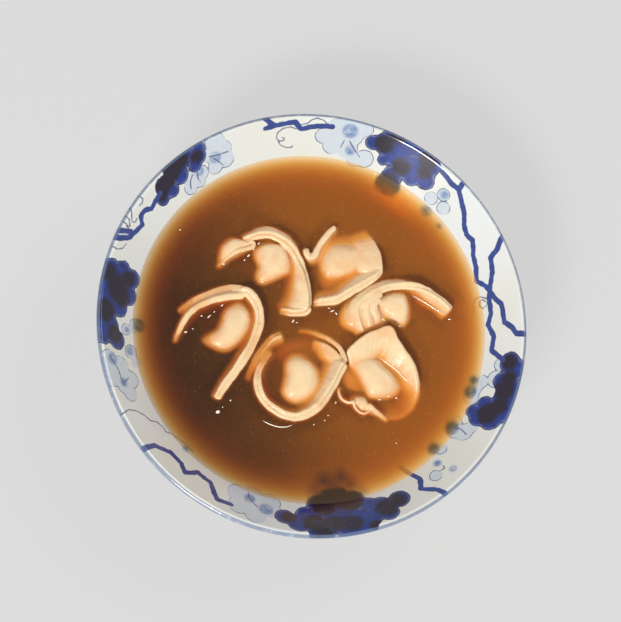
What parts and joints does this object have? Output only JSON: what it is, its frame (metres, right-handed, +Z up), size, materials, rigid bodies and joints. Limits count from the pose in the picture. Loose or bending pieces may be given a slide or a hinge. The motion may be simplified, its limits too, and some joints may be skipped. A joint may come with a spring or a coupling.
{
  "type": "bowl of tortellini in broth",
  "caption": "Shallow round porcelain bowl on a foot ring with a painted vine border, filled with brown broth from which folded, stuffed pasta stands out.",
  "frame": {"origin": "middle of the bowl's foot ring, on the surface that the bowl stands on", "axes": "+Z up out of the bowl; +X and +Y are level, to the right and to the top of the picture"},
  "size_m": [0.15, 0.15, 0.036],
  "materials": {
    "porcelain": "clear gloss glaze over a blue underglaze vine border",
    "broth": "wet, brown, see-through where it is shallow",
    "pasta": "wet boiled egg dough, satin"
  },
  "bodies": {
    "root": {"bowl": "porcelain", "broth": "broth", "tortellino_1": "pasta", "tortellino_2": "pasta", "tortellino_3": "pasta", "tortellino_4": "pasta", "tortellino_5": "pasta", "tortellino_6": "pasta"}
  },
  "joints": []
}
